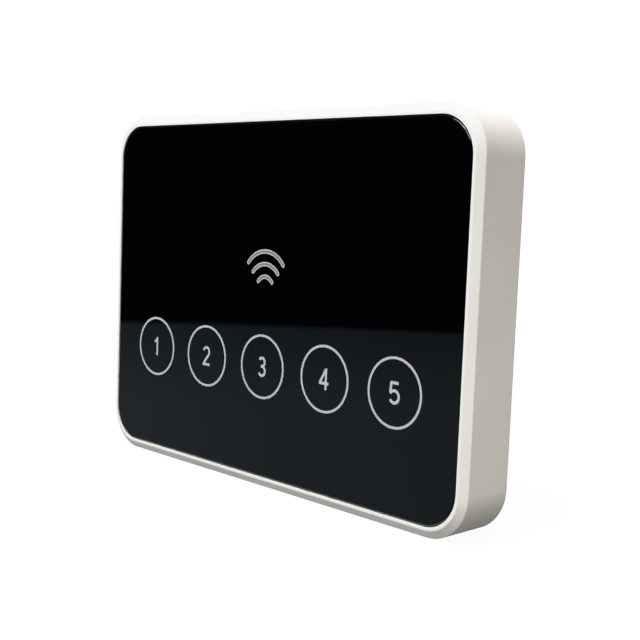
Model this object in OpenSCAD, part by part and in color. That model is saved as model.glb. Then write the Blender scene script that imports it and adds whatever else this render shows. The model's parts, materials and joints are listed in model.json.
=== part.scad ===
// Touch call unit for a restaurant table: black glass front in a white bevelled housing.
// It stands on its lower edge, with the glass facing -Y and the rear cover facing +Y.
// Depths count from the front face towards the back. Places on the face are measured
// from its centre: x to the right, y up, as seen from the front.

/* [Housing] */
// Width of the housing
body_w = 118; // [112:1:130]
// Height of the housing
body_h = 84; // [80:1:96]
// Depth of the housing, front face to rear face
body_d = 13.2; // [13:0.1:15]
// Outer corner radius, seen from the front
corner_r = 9.9; // [9:0.1:11]
// Width of the rim between the glass and the outer side
rim_w = 2.4; // [2:0.1:3]
// Width of the bevel on the rim
bevel_w = 1.7; // [1:0.1:1.8]
// Depth of the bevel on the rim
bevel_d = 1.05; // [0.6:0.05:1.5]
// Bevel round the rear edge
rear_bevel = 0.2; // [0.1:0.05:0.6]
// Thickness of the side walls
side_wall = 2.6; // [2.2:0.1:3]
// Thickness of the ledge behind the glass
ledge_t = 1.3; // [1:0.1:1.6]
// Distance from the outer side to the ledge's opening
ledge_in = 9; // [8:0.1:10]

/* [Glass] */
// Thickness of the glass
glass_t = 2; // [1.6:0.1:2.2]
// Corner radius of the pocket that the glass lies in
pocket_r = 8; // [7.5:0.1:9]
// Gap between the glass and the rim
glass_gap = 0.1; // [0.05:0.01:0.15]
// Distance that the glass lies below the rim's front face
glass_sunk = 0.05; // [0:0.05:0.2]
// Ground edge of the glass
glass_bevel = 0.25; // [0.1:0.05:0.4]
// Thickness of the tape under the glass
tape_t = 0.3; // [0.2:0.05:0.4]
// Distance that the tape stays inside the edges that it lies between
tape_margin = 0.4; // [0.2:0.1:0.8]

/* [Keys] */
// Number of touch keys in the row
key_count = 5; // [3:1:5]
// Distance from key to key
key_pitch = 20; // [18:0.5:20]
// Distance of the key row below the centre of the face
key_drop = 14.6; // [13:0.1:17]
// Height of the radio sign above the centre of the face
sign_rise = 7.2; // [6:0.1:10]
// Width of the light well behind the sign
sign_w = 16; // [14:0.5:20]
// Height of the light well behind the sign
sign_h = 12; // [10:0.5:13]
// Radius of a touch spring where it stands on the board
spring_r = 4.6; // [4:0.1:5]
// Radius of a touch spring where it meets the glass
spring_tip_r = 3.6; // [3:0.1:3.9]
// Radius of the spring wire
spring_wire_r = 0.25; // [0.2:0.01:0.28]
// Turns of a touch spring
spring_turns = 3; // [2:1:4]
// Wall thickness of the spring carrier
carrier_wall = 0.8; // [0.6:0.1:1.2]
// Gap between the carrier and what it holds or fits in
carrier_gap = 0.25; // [0.15:0.05:0.4]

/* [Board] */
// Thickness of the circuit board
board_t = 1; // [0.8:0.1:1.2]
// Gap between the board and the side walls
board_gap = 1; // [0.6:0.1:1.4]
// Height of a board screw above the centre of the face
board_screw_rise = 18; // [15:0.5:22]
// Radius of a board screw's shank
board_screw_r = 0.9; // [0.8:0.05:1]
// Length of the antenna coil
antenna_len = 16; // [12:1:20]
// Radius of the antenna coil to the middle of its wire
antenna_r = 1.9; // [1.5:0.1:2.1]
// Radius of the antenna wire
antenna_wire_r = 0.4; // [0.3:0.05:0.5]
// Turns of the antenna coil
antenna_turns = 8; // [6:1:9]
// Radius of the buzzer
buzzer_r = 6; // [5:0.1:7]
// Height of the buzzer
buzzer_t = 3; // [2.5:0.1:3.2]

/* [Battery] */
// Radius of the coin cell
cell_r = 12.25; // [11.5:0.05:12.5]
// Thickness of the coin cell
cell_t = 5; // [4.6:0.1:5.2]
// Space for the contact between the board and the cell
contact_h = 0.4; // [0.3:0.05:0.6]
// Thickness of the battery cap in the middle
cap_t = 1.5; // [1.3:0.1:1.7]
// Radius of the battery cap's flange
cap_r = 17.2; // [17:0.1:18]
// Thickness of the flange
flange_t = 1.4; // [1.3:0.05:1.5]
// Wall thickness of the cap's skirt
skirt_wall = 1.4; // [1.2:0.1:1.5]
// Length of the skirt in front of the flange
skirt_len = 2.2; // [2:0.1:2.4]
// Reach of a bayonet lug beyond the skirt
lug_reach = 1.1; // [0.8:0.1:1.2]
// Thickness of a lug along the axis
lug_t = 1; // [0.8:0.1:1.1]
// Angle that a lug spans
lug_span = 22; // [16:1:28]
// Number of lugs
lug_count = 3; // [2:1:3]
// Angle that the cap turns from locked to open
cap_turn = 40; // [36:1:46]
// Running clearance between the cap and the cover
turn_gap = 0.08; // [0.04:0.01:0.1]
// Radius of the seal's section
seal_r = 0.4; // [0.3:0.05:0.42]
// Width of the coin slot
coin_slot_w = 2.4; // [2:0.1:3]
// Length of the coin slot
coin_slot_len = 18; // [14:0.5:22]
// Depth of the coin slot
coin_slot_t = 0.8; // [0.6:0.1:0.9]

/* [Rear cover] */
// Thickness of the rear cover
cover_t = 1.6; // [1.4:0.1:1.8]
// Gap between the rear cover and the housing
cover_gap = 0.15; // [0.1:0.05:0.25]
// Distance that the rear cover lies below the housing's rear edge
cover_sunk = 0.2; // [0.1:0.05:0.3]
// Width of the seat that the rear cover rests on
cover_seat = 0.6; // [0.4:0.1:0.8]
// Wall thickness of the battery well outside the cap
well_wall = 2; // [1.6:0.1:2.4]
// Thickness of the stiffening ribs
rib_t = 1; // [0.8:0.1:1.4]
// Height of the stiffening ribs
rib_h = 1.5; // [1:0.1:1.6]
// Distance of each keyhole from the middle
keyhole_x = 34; // [32:0.5:36]
// Height of the keyholes' round entries above the centre of the face
keyhole_rise = 8; // [7:0.5:10]
// Radius of a keyhole's round entry
keyhole_r = 3.8; // [3.4:0.1:4]
// Radius of a keyhole's neck
keyhole_neck_r = 2; // [1.8:0.1:2.2]
// Travel from the entry to the top of the neck
keyhole_travel = 7; // [6:0.5:8]
// Room behind a keyhole for the screw's head
keyhole_room = 3; // [2.6:0.1:3.1]
// Radius of a sound hole
sound_hole_r = 0.8; // [0.6:0.1:1]
// Distance from a cover screw to the outer sides
boss_in = 9; // [8.5:0.1:9.5]
// Radius of a cover screw's shank
cover_screw_r = 1.1; // [1:0.05:1.2]
// Length of a cover screw's shank
cover_screw_len = 6; // [5:0.5:6.5]

/* [Hidden] */
$fn = 96;

// Depths of the stack, from the front
glass_back = glass_sunk + glass_t;
ledge_front = glass_back + tape_t;
ledge_back = ledge_front + ledge_t;
back_face = body_d - cover_sunk;
cap_inner = back_face - cap_t;
cap_play = 0.1;
cell_back = cap_inner - cap_play;
cell_front = cell_back - cell_t;
board_back = cell_front - contact_h;
board_front = board_back - board_t;
cover_front = back_face - cover_t;

// Widths and radii that follow from the sizes above
glass_w = body_w - 2 * rim_w;
glass_h = body_h - 2 * rim_w;
glass_r = pocket_r - glass_gap;
cavity_w = body_w - 2 * side_wall;
cavity_h = body_h - 2 * side_wall;
least_corner_r = 1.5;
fit_gap = 0.02;
overlap = 0.01;
past = 1;

// Cover screws, their bosses and the notches that the board has for them
boss_r = 3;
boss_x = body_w / 2 - boss_in;
boss_y = body_h / 2 - boss_in;
notch_gap = 1;
screw_floor = 0.6;
head_ratio = 2.1;
cover_head_r = cover_screw_r * head_ratio;
cover_head_t = 0.8;
cover_head_sunk = 0.1;
cover_head_gap = 0.2;
cover_head_front = back_face - cover_head_sunk - cover_head_t;
cover_hole_gap = 0.28;

// Cross recess of every screw: its reach and width as shares of the head
recess_reach = 1.3;
recess_width = 0.28;

// Board screws and their stand-offs, in the middle of the ledge
stand_r = 2.5;
stand_gap = 0.5;
stand_x = body_w / 2 - side_wall - stand_r - stand_gap;
board_hole_gap = 0.18;
board_head_r = board_screw_r * head_ratio;
board_head_t = 0.9;
board_screw_end_gap = 0.1;
board_screw_tip = ledge_front + screw_floor + board_screw_end_gap;

// Spring carrier and the light well
carrier_front_gap = 0.1;
carrier_front = ledge_front + carrier_front_gap;
carrier_web = 1;
carrier_skirt = 1.2;
spring_room = 0.5;
spring_bore_r = spring_r + spring_wire_r + spring_room;
well_lip = 1;
led_t = 0.8;
led_w = 3.2;
led_h = 2.8;
led_gap = 0.2;
diffuser_gap = 0.1;
diffuser_front = glass_back + diffuser_gap;
diffuser_back = board_front - led_t - led_gap;
diffuser_r = 1.5;

// Battery cap, bayonet and well
cell_room = 0.5;
skirt_in_r = cell_r + cell_room;
skirt_out_r = skirt_in_r + skirt_wall;
lug_r = skirt_out_r + lug_reach;
flange_front = back_face - flange_t;
skirt_front = flange_front - skirt_len;
seat_gap = 0.05;
seat_depth = flange_front - seat_gap;
axial_play = 0.1;
bore_r = skirt_out_r + turn_gap;
lug_tip_gap = 0.12;
groove_r = lug_r + lug_tip_gap;
groove_back = skirt_front + lug_t + axial_play;
well_front = skirt_front - axial_play;
recess_r = cap_r + turn_gap;
well_out_r = recess_r + well_wall;
lug_first = 90;
lug_play = 2;
seal_in = 0.1;
seal_centre_r = (groove_r + cap_r) / 2 - seal_in;
seal_side_gap = 0.05;
seal_seat_gap = 0.03;
cap_edge = 0.3;

// Holder and contacts of the cell, and the cell's own steps
holder_gap = 0.2;
holder_wall = 1.6;
holder_h = 2.6;
holder_slot_w = 7;
leaf_t = 0.2;
leaf_w = 4;
leaf_reach = 9;
side_leaf_w = 5;
side_leaf_foot = 3.4;
side_leaf_lean = 0.1;
side_leaf_lip = 0.4;
cell_edge = 0.3;
cell_rim = 0.5;
cell_step = 0.6;

// Touch chip and its leads
chip_w = 10;
chip_h = 3.9;
chip_t = 1.5;
lead_pairs = 8;
lead_pitch = 1.27;
lead_w = 0.45;
lead_reach = 1.1;
lead_t = 0.5;

// Radio module and its shield can
module_w = 16;
module_h = 14;
module_t = 0.8;
shield_w = 13;
shield_h = 11;
shield_t = 2;
shield_r = 0.6;

// Crystal can, capacitors and the buzzer's outlet
can_w = 11;
can_h = 4.6;
can_t = 3.4;
can_flange = 0.4;
large_capacitor = [7.3, 4.3, 2.8];
small_capacitor = [2, 1.25, 1];
small_count = 4;
small_pitch = 5;
outlet_t = 0.6;
buzzer_gap = 0.4;

// Places of the parts on the back of the board
row_gap = 6;
low_row_in = 14;
high_row_in = 12;
corner_part_x_in = 23;
corner_part_y_in = 20;
low_row_y = -(body_h / 2 - low_row_in);
high_row_y = body_h / 2 - high_row_in;
buzzer_x = -(body_w / 2 - corner_part_x_in);
buzzer_y = -(body_h / 2 - corner_part_y_in);
radio_x = body_w / 2 - corner_part_x_in;
radio_y = -(body_h / 2 - corner_part_y_in);
crystal_x = (chip_w / 2 + radio_x - module_w / 2) / 2;
capacitor_x = (-chip_w / 2 + buzzer_x + buzzer_r) / 2;

// Ribs, keyhole pockets and sound holes of the rear cover
rib_gap = 3.5;
rib_x = well_out_r + rib_gap;
rib_end_gap = 1;
side_rib_drop = 6;
pocket_side_room = 1;
pocket_wall = 1;
pocket_floor = 0.8;
sound_ring_r = 4 * sound_hole_r;

// ---------------------------------------------------------------- shared shapes

// Stands the children up: their x and y become the face's x and y, and their z = 0 lies at
// this depth, with +z towards the front.
module facing(depth) {
    translate([0, depth - body_d / 2, body_h / 2]) rotate([90, 0, 0]) children();
}

// A flat outline as a layer of thickness t that starts at this depth
module layer(depth, t) {
    facing(depth + t) linear_extrude(t) children();
}

module rounded_rect(w, h, r) {
    square([w - 2 * r, h], center = true);
    square([w, h - 2 * r], center = true);
    for (x = [-1, 1], y = [-1, 1])
        translate([x * (w / 2 - r), y * (h / 2 - r)]) circle(r);
}

// The housing's outline, drawn in by the same distance on every side
module body_outline(inset) {
    rounded_rect(body_w - 2 * inset, body_h - 2 * inset, max(corner_r - inset, least_corner_r));
}

module ring(r_in, r_out) {
    difference() {
        circle(r_out);
        circle(r_in);
    }
}

// Place of number i in a row of this many, centred on 0
function in_row(i, count, pitch) = (i - (count - 1) / 2) * pitch;

// A wedge from the centre between two angles, long enough to cross radius r
module wedge(r, from, to) {
    steps = 4;
    reach = 1.3 * r;
    polygon([[0, 0], for (i = [0:steps]) let (a = from + (to - from) * i / steps)
        reach * [cos(a), sin(a)]]);
}

// The edge of a slab of thickness t from back to front, with a bevel at each end
function edge_points(half, t, front_w, front_d, back) = concat(
    back > 0 ? [[half - back, 0], [half, back]] : [[half, 0]],
    [[half, t - front_d], [half - front_w, t]]);

function mirrored(points) = [for (i = [len(points) - 1:-1:0]) [-points[i][0], points[i][1]]];

// A slab with rounded corners whose front edge, and back edge if asked, is bevelled
module bevelled_slab(w, h, r, t, front_w, front_d, back) {
    side_x = edge_points(w / 2, t, front_w, front_d, back);
    side_y = edge_points(h / 2, t, front_w, front_d, back);
    corner = edge_points(r, t, front_w, front_d, back);
    rotate([90, 0, 0]) linear_extrude(h - 2 * r, center = true)
        polygon(concat(side_x, mirrored(side_x)));
    rotate([90, 0, 90]) linear_extrude(w - 2 * r, center = true)
        polygon(concat(side_y, mirrored(side_y)));
    for (x = [-1, 1], y = [-1, 1]) translate([x * (w / 2 - r), y * (h / 2 - r), 0])
        rotate_extrude() polygon(concat([[0, 0]], corner, [[0, t]]));
}

// A wire wound from radius r0 to r1 while it rises, as one tube with closed ends
function coil_centre(t, turns, r0, r1, rise) =
    [(r0 + (r1 - r0) * t) * cos(360 * turns * t), (r0 + (r1 - r0) * t) * sin(360 * turns * t),
     rise * t];

function coil_ring(t, turns, r0, r1, rise, wire_r, sides) = let (
    a = 360 * turns * t,
    slope = atan(rise / (PI * (r0 + r1) * turns)),
    outward = [cos(a), sin(a), 0],
    upward = [sin(a) * sin(slope), -cos(a) * sin(slope), cos(slope)])
    [for (k = [0:sides - 1]) let (b = 360 * (k + 0.5) / sides)
        coil_centre(t, turns, r0, r1, rise) + wire_r * (cos(b) * outward + sin(b) * upward)];

module coil(turns, r0, r1, rise, wire_r) {
    sides = 6;
    steps = 16 * turns;
    points = [for (i = [0:steps]) each coil_ring(i / steps, turns, r0, r1, rise, wire_r, sides)];
    walls = [for (i = [0:steps - 1], k = [0:sides - 1])
        let (a = i * sides + k, b = i * sides + (k + 1) % sides)
        each [[a, b, b + sides], [a, b + sides, a + sides]]];
    first = [for (k = [sides - 1:-1:0]) k];
    last = [for (k = [0:sides - 1]) steps * sides + k];
    polyhedron(points, concat(walls, [first, last]), convexity = 10);
}

// A screw that is driven from behind: head from head_front backwards, shank towards the front
module screw(x, y, head_front, head_t, head_r, shank_r, tip) {
    facing(head_front) translate([x, y, 0]) cylinder(h = head_front - tip, r = shank_r);
    facing(head_front + head_t) translate([x, y, 0]) difference() {
        cylinder(h = head_t, r = head_r);
        for (turn = [0, 90]) rotate(turn) translate([0, 0, head_t / 4])
            cube([head_r * recess_reach, head_r * recess_width, head_t / 2], center = true);
    }
}

// ---------------------------------------------------------------- housing and glass

module front_frame() color("#eceae4") difference() {
    union() {
        difference() {
            facing(body_d)
                bevelled_slab(body_w, body_h, corner_r, body_d, bevel_w, bevel_d, rear_bevel);
            layer(-past, ledge_front + past)
                rounded_rect(glass_w + 2 * glass_gap, glass_h + 2 * glass_gap, pocket_r);
            layer(0, body_d) body_outline(ledge_in);
            layer(ledge_back, body_d) body_outline(side_wall);
            layer(cover_front, body_d) body_outline(side_wall - cover_seat);
        }
        for (x = [-1, 1], y = [-1, 1]) {
            layer(ledge_front + screw_floor, cover_front - ledge_front - screw_floor)
                translate([x * boss_x, y * boss_y]) circle(boss_r);
            layer(ledge_front + screw_floor, board_front - ledge_front - screw_floor)
                translate([x * stand_x, y * board_screw_rise]) circle(stand_r);
        }
    }
    for (x = [-1, 1], y = [-1, 1]) {
        layer(cover_head_front - cover_screw_len, body_d)
            translate([x * boss_x, y * boss_y]) circle(cover_screw_r + fit_gap);
        layer(board_screw_tip, board_front)
            translate([x * stand_x, y * board_screw_rise]) circle(board_screw_r + fit_gap);
    }
}

module touch_glass() color("#08090b") facing(glass_back)
    bevelled_slab(glass_w, glass_h, glass_r, glass_t, glass_bevel, glass_bevel, 0);

module glass_tape() color("#3a3a3c") layer(glass_back, tape_t) difference() {
    rounded_rect(glass_w - 2 * tape_margin, glass_h - 2 * tape_margin, glass_r - tape_margin);
    body_outline(ledge_in - tape_margin);
}

// ---------------------------------------------------------------- keys and sign

function key_x(i) = in_row(i, key_count, key_pitch);

module spring_carrier() color("#1d1e20") difference() {
    union() {
        layer(carrier_front, carrier_web) body_outline(ledge_in + carrier_gap);
        layer(carrier_front, board_front - carrier_front) difference() {
            body_outline(ledge_in + carrier_gap);
            body_outline(ledge_in + carrier_gap + carrier_skirt);
        }
        for (i = [0:key_count - 1]) layer(carrier_front, board_front - carrier_front)
            translate([key_x(i), -key_drop]) circle(spring_bore_r + carrier_wall);
        layer(carrier_front, board_front - carrier_front) translate([0, sign_rise])
            square([sign_w + 2 * carrier_wall, sign_h + 2 * carrier_wall], center = true);
    }
    for (i = [0:key_count - 1]) layer(0, body_d)
        translate([key_x(i), -key_drop]) circle(spring_bore_r);
    for (x = [-1, 1], y = [-1, 1]) layer(0, body_d)
        translate([x * boss_x, y * boss_y]) circle(boss_r + carrier_gap);
    layer(0, diffuser_back) translate([0, sign_rise]) square([sign_w, sign_h], center = true);
    layer(0, body_d) translate([0, sign_rise])
        square([sign_w - 2 * well_lip, sign_h - 2 * well_lip], center = true);
}

module touch_spring(i) color("#b9a06a") if (i < key_count)
    facing(board_front - spring_wire_r) translate([key_x(i), -key_drop, 0])
        coil(spring_turns, spring_r, spring_tip_r,
             board_front - glass_back - 2 * spring_wire_r, spring_wire_r);

module signal_diffuser() color("#e8eaec")
    layer(diffuser_front, diffuser_back - diffuser_front) translate([0, sign_rise])
        rounded_rect(sign_w - 2 * carrier_gap, sign_h - 2 * carrier_gap, diffuser_r);

module signal_led() color("#f4f1d8") layer(board_front - led_t, led_t)
    translate([0, sign_rise]) square([led_w, led_h], center = true);

// ---------------------------------------------------------------- board and its parts

module main_board() color("#1f6b3c") difference() {
    layer(board_front, board_t) {
        square([cavity_w - 2 * board_gap, 2 * (boss_y - boss_r - notch_gap)], center = true);
        square([2 * (boss_x - boss_r - notch_gap), cavity_h - 2 * board_gap], center = true);
    }
    for (x = [-1, 1], y = [-1, 1]) layer(0, body_d)
        translate([x * stand_x, y * board_screw_rise]) circle(board_screw_r + board_hole_gap);
}

module touch_controller() color("#2a2a2c") {
    layer(board_back, chip_t)
        translate([0, low_row_y]) square([chip_w, chip_h], center = true);
    for (i = [0:lead_pairs - 1], side = [-1, 1]) layer(board_back, lead_t)
        translate([in_row(i, lead_pairs, lead_pitch), low_row_y + side * (chip_h + lead_reach) / 2])
            square([lead_w, lead_reach], center = true);
}

module radio_module() color("#c9ccd0") {
    layer(board_back, module_t)
        translate([radio_x, radio_y]) square([module_w, module_h], center = true);
    layer(board_back + module_t, shield_t)
        translate([radio_x, radio_y]) rounded_rect(shield_w, shield_h, shield_r);
}

module antenna_coil() color("#b87333")
    facing(board_back + antenna_r + antenna_wire_r)
        translate([-antenna_len / 2 + antenna_wire_r, high_row_y, 0]) rotate([90, 0, 90])
            coil(antenna_turns, antenna_r, antenna_r, antenna_len - 2 * antenna_wire_r,
                 antenna_wire_r);

module crystal() color("#d4d6d8") {
    layer(board_back, can_flange) translate([crystal_x, low_row_y])
        rounded_rect(can_w, can_h, can_h / 2 - overlap);
    layer(board_back + can_flange, can_t - can_flange) translate([crystal_x, low_row_y])
        rounded_rect(can_w - 2 * can_flange, can_h - 2 * can_flange,
                     can_h / 2 - can_flange - overlap);
}

module capacitors() color("#c8902c") {
    layer(board_back, large_capacitor[2]) translate([capacitor_x, low_row_y])
        square([large_capacitor[0], large_capacitor[1]], center = true);
    for (i = [0:small_count - 1]) layer(board_back, small_capacitor[2])
        translate([in_row(i, small_count, small_pitch), low_row_y - row_gap])
            square([small_capacitor[0], small_capacitor[1]], center = true);
}

module buzzer() color("#232325") difference() {
    layer(board_back, buzzer_t) translate([buzzer_x, buzzer_y]) circle(buzzer_r);
    layer(board_back + buzzer_t - outlet_t, 2 * outlet_t)
        translate([buzzer_x, buzzer_y]) circle(sound_hole_r);
}

// ---------------------------------------------------------------- battery

module battery_holder() color("#2b2c2e") layer(board_back, holder_h) difference() {
    ring(cell_r + holder_gap, cell_r + holder_gap + holder_wall);
    translate([cell_r, 0]) square([4 * holder_wall, holder_slot_w], center = true);
}

// Leaf with both feet on the board and its middle against the cell
module negative_contact() color("#c9b16b") {
    rise = contact_h - leaf_t;
    knee = leaf_reach / 2;
    under = [[leaf_reach, 0], [knee, 0], [knee / 3, rise], [-knee / 3, rise], [-knee, 0],
             [-leaf_reach, 0]];
    over = [for (i = [len(under) - 1:-1:0]) under[i] + [0, leaf_t]];
    translate([0, board_back - body_d / 2, body_h / 2]) linear_extrude(leaf_w, center = true)
        polygon(concat(under, over));
}

// Leaf that stands on the board and leans against the cell's side
module positive_contact() color("#c9b16b") {
    root = cell_r + leaf_t + side_leaf_lean;
    lip = holder_h - side_leaf_lip;
    translate([0, board_back - body_d / 2, body_h / 2]) linear_extrude(side_leaf_w, center = true)
        polygon([[root + side_leaf_foot, 0], [root + side_leaf_foot, leaf_t],
                 [root + leaf_t, leaf_t], [cell_r + leaf_t, lip],
                 [cell_r + 2 * leaf_t, holder_h], [cell_r + leaf_t, holder_h],
                 [cell_r, lip], [root, 0]]);
}

module coin_cell() color("#c6c9cc") facing(cell_back) rotate_extrude() polygon([
    [0, 0], [cell_r - cell_edge, 0], [cell_r, cell_edge],
    [cell_r, cell_t - cell_step - cell_edge], [cell_r - cell_rim, cell_t - cell_step],
    [cell_r - 3 * cell_rim, cell_t - cell_step], [cell_r - 4 * cell_rim, cell_t], [0, cell_t]]);

// ---------------------------------------------------------------- rear cover and cap

function lug_angle(i) = lug_first + 360 * i / lug_count;

module keyhole_outline() {
    circle(keyhole_r);
    translate([0, keyhole_travel]) circle(keyhole_neck_r);
    translate([-keyhole_neck_r, 0]) square([2 * keyhole_neck_r, keyhole_travel]);
}

module keyhole_box(grow) {
    side = 2 * (keyhole_r + pocket_side_room + grow);
    translate([0, keyhole_travel / 2]) square([side, side + keyhole_travel], center = true);
}

module cover_outside() {
    layer(cover_front, cover_t) body_outline(side_wall - cover_seat + cover_gap);
    layer(well_front, cover_front - well_front + overlap) circle(well_out_r);
    layer(cover_front - keyhole_room - pocket_floor, keyhole_room + pocket_floor + overlap)
        for (x = [-1, 1]) translate([x * keyhole_x, keyhole_rise]) keyhole_box(pocket_wall);
    layer(cover_front - rib_h, rib_h + overlap) {
        for (x = [-1, 1]) {
            translate([x * rib_x, 0])
                square([rib_t, 2 * (boss_y - rib_end_gap)], center = true);
            translate([x * (rib_x + boss_x) / 2, -side_rib_drop])
                square([boss_x - rib_x, rib_t], center = true);
        }
        translate([buzzer_x, buzzer_y]) circle(buzzer_r + buzzer_gap + rib_t);
    }
}

module rear_cover() color("#e6e4de") difference() {
    cover_outside();
    layer(0, body_d) circle(bore_r);
    layer(seat_depth, body_d) circle(recess_r);
    for (i = [0:lug_count - 1]) {
        layer(0, groove_back) intersection() {
            circle(groove_r);
            wedge(groove_r, lug_angle(i) - cap_turn - lug_span / 2 - lug_play,
                  lug_angle(i) + lug_span / 2 + lug_play);
        }
        layer(0, body_d) intersection() {
            circle(groove_r);
            wedge(groove_r, lug_angle(i) - cap_turn - lug_span / 2 - lug_play,
                  lug_angle(i) - cap_turn + lug_span / 2 + lug_play);
        }
    }
    for (x = [-1, 1]) {
        layer(cover_front - keyhole_room, keyhole_room)
            translate([x * keyhole_x, keyhole_rise]) keyhole_box(0);
        layer(cover_front - past, body_d)
            translate([x * keyhole_x, keyhole_rise]) keyhole_outline();
    }
    layer(0, cover_front) translate([buzzer_x, buzzer_y]) circle(buzzer_r + buzzer_gap);
    layer(0, body_d) translate([buzzer_x, buzzer_y]) {
        circle(sound_hole_r);
        for (a = [0:60:300]) rotate(a) translate([sound_ring_r, 0]) circle(sound_hole_r);
    }
    for (x = [-1, 1], y = [-1, 1]) {
        layer(0, body_d) translate([x * boss_x, y * boss_y])
            circle(cover_screw_r + cover_hole_gap);
        layer(cover_head_front, body_d) translate([x * boss_x, y * boss_y])
            circle(cover_head_r + cover_head_gap);
    }
}

module battery_cap() color("#dddbd5") difference() {
    union() {
        facing(back_face) rotate_extrude() polygon([[0, 0], [cap_r - cap_edge, 0], [cap_r, cap_edge],
            [cap_r, flange_t], [skirt_out_r, flange_t], [skirt_out_r, flange_t + skirt_len],
            [skirt_in_r, flange_t + skirt_len], [skirt_in_r, cap_t], [0, cap_t]]);
        layer(skirt_front, lug_t) for (i = [0:lug_count - 1]) intersection() {
            ring(skirt_out_r - skirt_wall / 2, lug_r);
            wedge(lug_r, lug_angle(i) - lug_span / 2, lug_angle(i) + lug_span / 2);
        }
    }
    layer(flange_front, 2 * seal_r)
        ring(seal_centre_r - seal_r - seal_side_gap, seal_centre_r + seal_r + seal_side_gap);
    layer(back_face - coin_slot_t, coin_slot_t + past) {
        square([coin_slot_len - coin_slot_w, coin_slot_w], center = true);
        for (x = [-1, 1]) translate([x * (coin_slot_len - coin_slot_w) / 2, 0])
            circle(coin_slot_w / 2);
    }
}

module cap_seal() color("#b33a2e") facing(seat_depth + seal_r + seal_seat_gap)
    rotate_extrude() translate([seal_centre_r, 0]) circle(seal_r);

// ---------------------------------------------------------------- screws

module board_screws() color("#b9bcc0") for (x = [-1, 1], y = [-1, 1])
    screw(x * stand_x, y * board_screw_rise, board_back, board_head_t, board_head_r,
          board_screw_r, board_screw_tip);

module cover_screws() color("#a9acb0") for (x = [-1, 1], y = [-1, 1])
    screw(x * boss_x, y * boss_y, cover_head_front, cover_head_t, cover_head_r,
          cover_screw_r, cover_head_front - cover_screw_len);

front_frame();
touch_glass();
glass_tape();
spring_carrier();
touch_spring(0);  // touch_spring_1
touch_spring(1);  // touch_spring_2
touch_spring(2);  // touch_spring_3
touch_spring(3);  // touch_spring_4
touch_spring(4);  // touch_spring_5
signal_diffuser();
signal_led();
main_board();
touch_controller();
radio_module();
antenna_coil();
crystal();
capacitors();
buzzer();
battery_holder();
negative_contact();
positive_contact();
coin_cell();
rear_cover();
battery_cap();
cap_seal();
board_screws();
cover_screws();
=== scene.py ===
"""Looks of the touch call unit: its housing with eased edges, its ground glass, the prints on
the glass and on the back and a finish for every piece, with a camera, soft light and a floor.

Lengths are metres in the row frame: x to the right, y from the glass to the back, z up.
"""
import json
import math

import bmesh
import bpy
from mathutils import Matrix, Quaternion, Vector


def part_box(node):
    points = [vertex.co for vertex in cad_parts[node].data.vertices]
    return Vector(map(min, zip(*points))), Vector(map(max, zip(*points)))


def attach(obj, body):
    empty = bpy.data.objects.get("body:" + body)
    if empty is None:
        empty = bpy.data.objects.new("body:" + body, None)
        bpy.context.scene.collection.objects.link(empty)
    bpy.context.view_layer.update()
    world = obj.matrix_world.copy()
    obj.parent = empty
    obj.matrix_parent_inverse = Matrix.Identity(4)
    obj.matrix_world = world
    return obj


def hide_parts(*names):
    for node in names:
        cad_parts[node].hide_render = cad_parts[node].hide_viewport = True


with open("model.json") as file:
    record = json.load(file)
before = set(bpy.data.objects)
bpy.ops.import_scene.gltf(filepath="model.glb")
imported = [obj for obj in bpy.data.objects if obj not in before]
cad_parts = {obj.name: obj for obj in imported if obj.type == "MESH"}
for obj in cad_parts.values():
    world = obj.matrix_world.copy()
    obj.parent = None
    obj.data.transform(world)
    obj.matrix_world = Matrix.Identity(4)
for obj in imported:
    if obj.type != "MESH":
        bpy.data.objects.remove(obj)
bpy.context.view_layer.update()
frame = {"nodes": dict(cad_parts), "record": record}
NODES = frame["nodes"]
MM = 0.001

# ---------------------------------------------------------------- places from the frame

HOUSING_LOW, HOUSING_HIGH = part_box("front_frame")
GLASS_LOW, GLASS_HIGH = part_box("touch_glass")
COVER_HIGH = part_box("rear_cover")[1]
CAP_LOW, CAP_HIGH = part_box("battery_cap")
LEDGE_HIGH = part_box("glass_tape")[1]
FACE_CENTRE = Vector((0, HOUSING_LOW.y, (HOUSING_LOW.z + HOUSING_HIGH.z) / 2))
CAP_CENTRE = Vector((0, CAP_HIGH.y, (CAP_LOW.z + CAP_HIGH.z) / 2))

# The housing: its corners, and its section as insets from the outer side and depths from the
# front. Insets beyond the corner's own radius keep the least radius.
HOUSING_W = HOUSING_HIGH.x - HOUSING_LOW.x
HOUSING_H = HOUSING_HIGH.z - HOUSING_LOW.z
HOUSING_D = HOUSING_HIGH.y - HOUSING_LOW.y
CORNER_R = 9.9 * MM
POCKET_R = 8 * MM
LEAST_CORNER_R = 1.5 * MM
BEVEL_W = 1.7 * MM
BEVEL_D = 1.05 * MM
REAR_BEVEL = 0.2 * MM
SIDE_WALL = 2.6 * MM
COVER_SEAT = 0.6 * MM
LEDGE_IN = 9 * MM
LEDGE_T = 1.3 * MM
EDGE_ROUND = 0.16 * MM
INNER_ROUND = 0.08 * MM

# The glass: its gap in the pocket, where its two ground facets meet the face, each other and
# the side, and the easing of its rear edge
GLASS_GAP = 0.1 * MM
FACET_IN = 0.36 * MM
FACET_OUT = 0.1 * MM
FACET_DROP = 0.6 * MM
BACK_ARRIS = 0.15 * MM

# Edges that turn by more than this stay sharp
SHELL_SHARP = math.radians(50)
FACET_SHARP = math.radians(15)
# Points of a mesh that lie closer than this are one point
MERGE_REACH = 1e-7

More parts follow.
